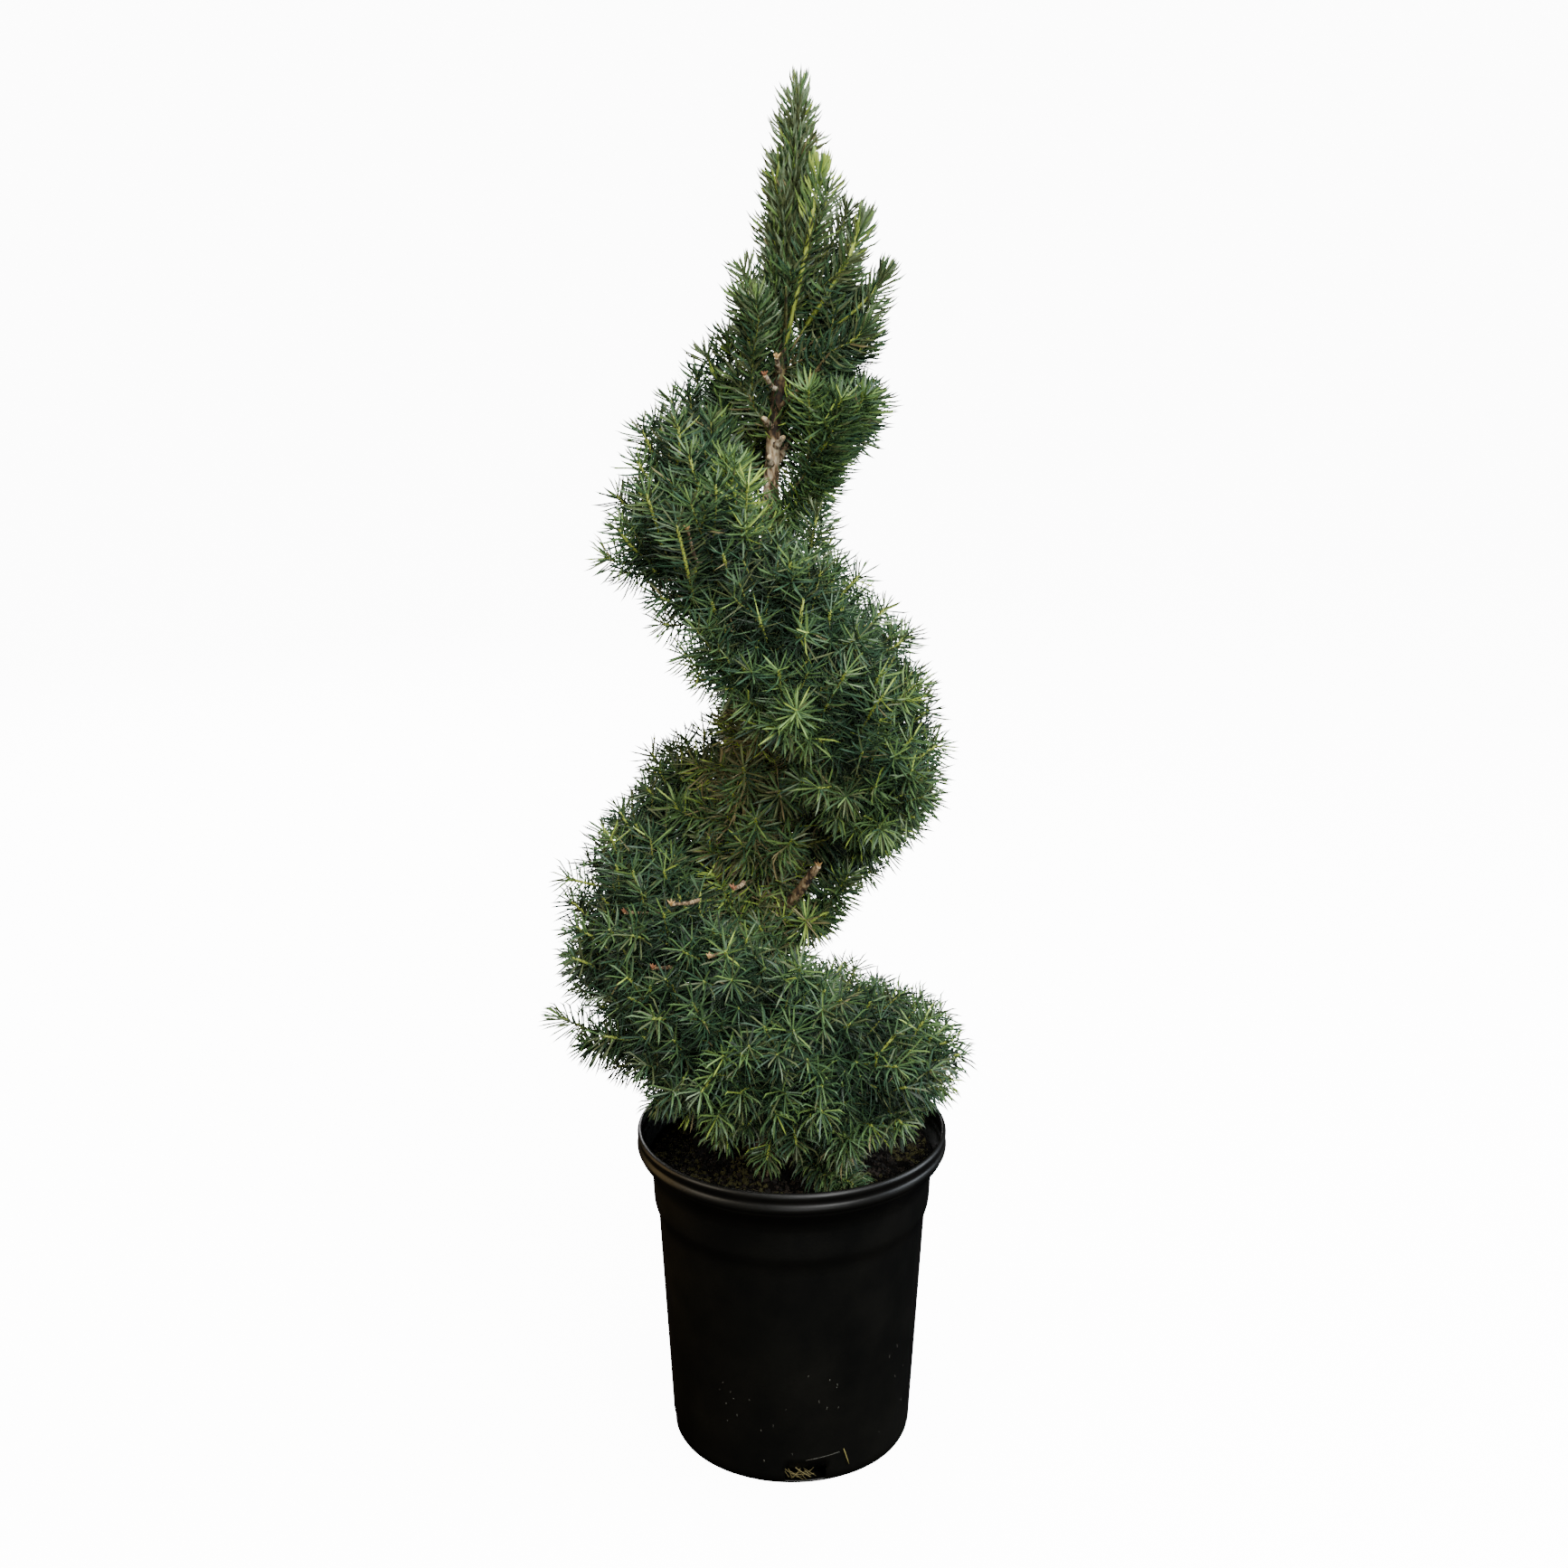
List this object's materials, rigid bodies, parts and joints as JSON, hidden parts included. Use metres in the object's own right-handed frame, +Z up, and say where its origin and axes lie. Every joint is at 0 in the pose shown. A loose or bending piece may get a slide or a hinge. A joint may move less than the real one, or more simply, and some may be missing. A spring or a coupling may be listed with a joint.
{
  "type": "spiral topiary",
  "caption": "Dwarf spruce clipped to a left-handed spiral of dense needle foliage round a bare stem, growing in a plain black nursery pot.",
  "frame": {"origin": "centre of the pot's flat underside, where it stands", "axes": "+Z up the stem; -Y is the front, where the band of foliage falls from upper left to lower right; +X is to the right seen from the front"},
  "size_m": [0.288, 0.2704, 0.9323],
  "materials": {
    "pot_plastic": "blow-moulded black polyethylene, satin",
    "bark_mix": "dark moist bark and peat crumbs with moss",
    "bark": "thin grey-brown scaly bark",
    "needle_foliage": "waxy green needles, satin"
  },
  "bodies": {
    "root": {"pot": "pot_plastic", "potting_soil": "bark_mix", "trunk": "bark", "leader_plume": "needle_foliage", "second_shoot": "needle_foliage", "third_shoot": "needle_foliage", "fourth_shoot": "needle_foliage", "left_top_shoot": "needle_foliage", "high_trunk_spray": "needle_foliage", "low_trunk_spray": "needle_foliage", "low_left_spray": "needle_foliage", "low_front_spray": "needle_foliage", "spiral_mass_01": "needle_foliage", "spiral_mass_02": "needle_foliage", "spiral_mass_03": "needle_foliage", "spiral_mass_04": "needle_foliage", "spiral_mass_05": "needle_foliage", "spiral_mass_06": "needle_foliage", "spiral_mass_07": "needle_foliage", "spiral_mass_08": "needle_foliage", "spiral_mass_09": "needle_foliage", "spiral_mass_10": "needle_foliage", "spiral_mass_11": "needle_foliage", "spiral_mass_12": "needle_foliage", "bough_01": "bark", "bough_02": "bark", "bough_03": "bark", "bough_04": "bark", "bough_05": "bark", "bough_06": "bark", "bough_07": "bark", "bough_08": "bark", "bough_09": "bark", "bough_10": "bark", "bough_11": "bark", "bough_12": "bark", "bough_13": "bark", "bough_14": "bark", "bough_15": "bark", "bough_16": "bark", "bough_17": "bark", "bough_18": "bark", "bough_19": "bark", "bough_20": "bark", "bough_21": "bark", "bough_22": "bark"}
  },
  "joints": []
}
